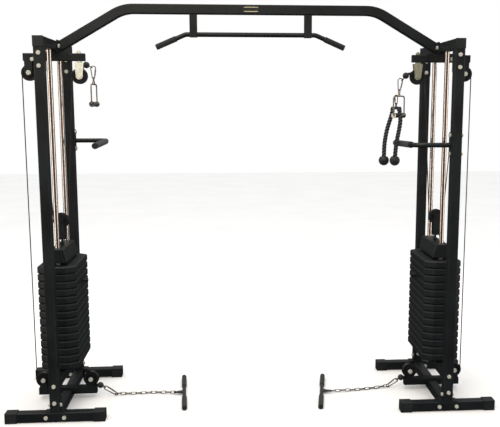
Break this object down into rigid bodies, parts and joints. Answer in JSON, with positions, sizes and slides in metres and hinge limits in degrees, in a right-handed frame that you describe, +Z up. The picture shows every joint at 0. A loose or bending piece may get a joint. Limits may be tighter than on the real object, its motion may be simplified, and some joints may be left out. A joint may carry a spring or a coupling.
{
  "type": "cable crossover station",
  "caption": "Free-standing cable crossover frame: weight-stack towers with pulleys and cables, joined by an arched beam that carries a pull-up bar, with handles, rope and floor bars.",
  "frame": {"origin": "on the floor, midway between the towers and midway front to back", "axes": "+X from the left tower to the right one as seen from the front, +Y to the back, +Z up"},
  "size_m": [2.6064, 0.705, 2.1716],
  "materials": {
    "powder_coat": "satin black powder coat",
    "chrome_rod": "polished chrome plate",
    "zinc_fastener": "bright zinc plate",
    "pale_zinc": "pale passivated zinc plate",
    "nylon": "moulded black nylon",
    "weight_shell": "moulded blue-black shell",
    "rubber": "black rubber",
    "foam_grip": "black foam rubber sleeve",
    "cable_jacket": "black plastic over steel rope",
    "rope": "black braided polyester rope",
    "cap_plastic": "black polyethylene end caps",
    "pin_steel": "bright pin with black knob"
  },
  "bodies": {
    "frame": {"base_rails": "powder_coat", "beam_flanges": "powder_coat", "drop_tubes": "powder_coat", "end_caps": "cap_plastic", "feet": "powder_coat", "frame_bolts": "zinc_fastener", "guide_rods": "chrome_rod", "high_rails": "powder_coat", "low_ball_stops": "rubber", "low_rails": "powder_coat", "outer_cables": "cable_jacket", "pull_up_bar": "powder_coat", "pull_up_grips": "foam_grip", "pulley_brackets": "powder_coat", "resting_plates": "weight_shell", "stack_pads": "rubber", "stack_shelves": "powder_coat", "support_grips": "foam_grip", "support_handles": "powder_coat", "top_beam": "powder_coat", "top_tubes": "powder_coat", "uprights": "powder_coat"},
    "left_stack": {"left_head_block": "weight_shell", "left_lifted_plates": "weight_shell", "left_floating_fork": "powder_coat", "left_lift_cable": "cable_jacket"},
    "left_pin": {"left_selector_pin": "pin_steel"},
    "left_floating_wheel": {"left_floating_pulley": "nylon"},
    "left_swivel": {"left_swivel_fork": "pale_zinc", "left_high_cable_end": "rubber"},
    "left_swivel_wheel": {"left_swivel_pulley": "nylon"},
    "left_high_outer_wheel": {"left_high_outer_pulley": "nylon"},
    "left_low_outer_wheel": {"left_low_outer_pulley": "nylon"},
    "left_low_inner_wheel": {"left_low_inner_pulley": "nylon"},
    "left_handle": {"left_high_hook": "zinc_fastener", "left_stirrup": "chrome_rod"},
    "left_handle_grip": {"left_stirrup_grip": "chrome_rod"},
    "left_floor_bar": {"left_chain": "zinc_fastener", "left_straight_bar": "foam_grip"},
    "right_stack": {"right_head_block": "weight_shell", "right_lifted_plates": "weight_shell", "right_floating_fork": "powder_coat", "right_lift_cable": "cable_jacket"},
    "right_pin": {"right_selector_pin": "pin_steel"},
    "right_floating_wheel": {"right_floating_pulley": "nylon"},
    "right_swivel": {"right_swivel_fork": "pale_zinc", "right_high_cable_end": "rubber"},
    "right_swivel_wheel": {"right_swivel_pulley": "nylon"},
    "right_high_outer_wheel": {"right_high_outer_pulley": "nylon"},
    "right_low_outer_wheel": {"right_low_outer_pulley": "nylon"},
    "right_low_inner_wheel": {"right_low_inner_pulley": "nylon"},
    "right_handle": {"right_high_hook": "zinc_fastener", "right_stirrup": "chrome_rod"},
    "right_handle_grip": {"right_stirrup_grip": "chrome_rod"},
    "right_floor_bar": {"right_chain": "zinc_fastener", "right_straight_bar": "foam_grip"},
    "pull_down_rope": {"rope_hook": "zinc_fastener", "rope_fittings": "rubber", "rope_leg_left": "rope", "rope_leg_right": "rope"}
  },
  "joints": [
    {"name": "left_stack_lift", "type": "slide", "parent": "frame", "child": "left_stack", "axis": [0, 0, 1], "range_m": [0, 0.6], "deforming": ["left_lift_cable"]},
    {"name": "left_pin_pull", "type": "slide", "parent": "left_stack", "child": "left_pin", "axis": [1, 0, 0], "range_m": [0, 0.14]},
    {"name": "left_floating_wheel_spin", "type": "hinge", "parent": "left_stack", "child": "left_floating_wheel", "pos_m": [-1.045, 0, 1.017], "axis": [0, 1, 0], "continuous": true},
    {"name": "left_swivel_turn", "type": "hinge", "parent": "frame", "child": "left_swivel", "pos_m": [-0.916, 0, 1.87], "axis": [0, 0, 1], "range_deg": [-10, 10]},
    {"name": "left_swivel_wheel_spin", "type": "hinge", "parent": "left_swivel", "child": "left_swivel_wheel", "pos_m": [-0.916, 0, 1.796], "axis": [0, 1, 0], "continuous": true},
    {"name": "left_high_outer_wheel_spin", "type": "hinge", "parent": "frame", "child": "left_high_outer_wheel", "pos_m": [-1.178, 0, 1.812], "axis": [0, 1, 0], "continuous": true},
    {"name": "left_low_outer_wheel_spin", "type": "hinge", "parent": "frame", "child": "left_low_outer_wheel", "pos_m": [-1.178, 0, 0.11], "axis": [0, 1, 0], "continuous": true},
    {"name": "left_low_inner_wheel_spin", "type": "hinge", "parent": "frame", "child": "left_low_inner_wheel", "pos_m": [-0.915, 0, 0.11], "axis": [0, 1, 0], "continuous": true},
    {"name": "left_handle_swing", "type": "hinge", "parent": "left_swivel", "child": "left_handle", "pos_m": [-0.84808, 0, 1.83892], "axis": [0, 1, 0], "range_deg": [-30, 8]},
    {"name": "right_stack_lift", "type": "slide", "parent": "frame", "child": "right_stack", "axis": [0, 0, 1], "range_m": [0, 0.6], "deforming": ["right_lift_cable"]},
    {"name": "right_pin_pull", "type": "slide", "parent": "right_stack", "child": "right_pin", "axis": [-1, 0, 0], "range_m": [0, 0.14]},
    {"name": "right_floating_wheel_spin", "type": "hinge", "parent": "right_stack", "child": "right_floating_wheel", "pos_m": [1.045, 0, 1.017], "axis": [0, 1, 0], "continuous": true},
    {"name": "right_swivel_turn", "type": "hinge", "parent": "frame", "child": "right_swivel", "pos_m": [0.916, 0, 1.87], "axis": [0, 0, 1], "range_deg": [-10, 2]},
    {"name": "right_swivel_wheel_spin", "type": "hinge", "parent": "right_swivel", "child": "right_swivel_wheel", "pos_m": [0.916, 0, 1.796], "axis": [0, 1, 0], "continuous": true},
    {"name": "right_high_outer_wheel_spin", "type": "hinge", "parent": "frame", "child": "right_high_outer_wheel", "pos_m": [1.178, 0, 1.812], "axis": [0, 1, 0], "continuous": true},
    {"name": "right_low_outer_wheel_spin", "type": "hinge", "parent": "frame", "child": "right_low_outer_wheel", "pos_m": [1.178, 0, 0.11], "axis": [0, 1, 0], "continuous": true},
    {"name": "right_low_inner_wheel_spin", "type": "hinge", "parent": "frame", "child": "right_low_inner_wheel", "pos_m": [0.915, 0, 0.11], "axis": [0, 1, 0], "continuous": true},
    {"name": "right_handle_swing", "type": "hinge", "parent": "right_swivel", "child": "right_handle", "pos_m": [0.82894, 0, 1.7745], "axis": [0, 1, 0], "range_deg": [0, 30]},
    {"name": "left_handle_grip_spin", "type": "hinge", "parent": "left_handle", "child": "left_handle_grip", "pos_m": [-0.84396, 0, 1.64715], "axis": [0.061, 0.9981, 0], "continuous": true},
    {"name": "left_floor_bar_swing", "type": "hinge", "parent": "frame", "child": "left_floor_bar", "pos_m": [-0.845, 0, 0.056], "axis": [0, 0, 1], "range_deg": [-15, 15]},
    {"name": "right_handle_grip_spin", "type": "hinge", "parent": "right_handle", "child": "right_handle_grip", "pos_m": [0.81661, 0, 1.5861], "axis": [0.6626, 0.749, 0], "continuous": true},
    {"name": "rope_swing", "type": "hinge", "parent": "right_handle", "child": "pull_down_rope", "pos_m": [0.7954, -0.02397, 1.6911], "axis": [-0.749, 0.6626, 0], "range_deg": [0, 5]},
    {"name": "right_floor_bar_swing", "type": "hinge", "parent": "frame", "child": "right_floor_bar", "pos_m": [0.845, 0, 0.056], "axis": [0, 0, 1], "range_deg": [-15, 15]}
  ],
  "couplings": [
    {"joint": "left_floating_wheel_spin", "follows": "left_stack_lift", "rad_per_m": -25.51},
    {"joint": "left_swivel_wheel_spin", "follows": "left_stack_lift", "rad_per_m": 51.02},
    {"joint": "right_floating_wheel_spin", "follows": "right_stack_lift", "rad_per_m": 25.51},
    {"joint": "right_swivel_wheel_spin", "follows": "right_stack_lift", "rad_per_m": -51.02}
  ]
}
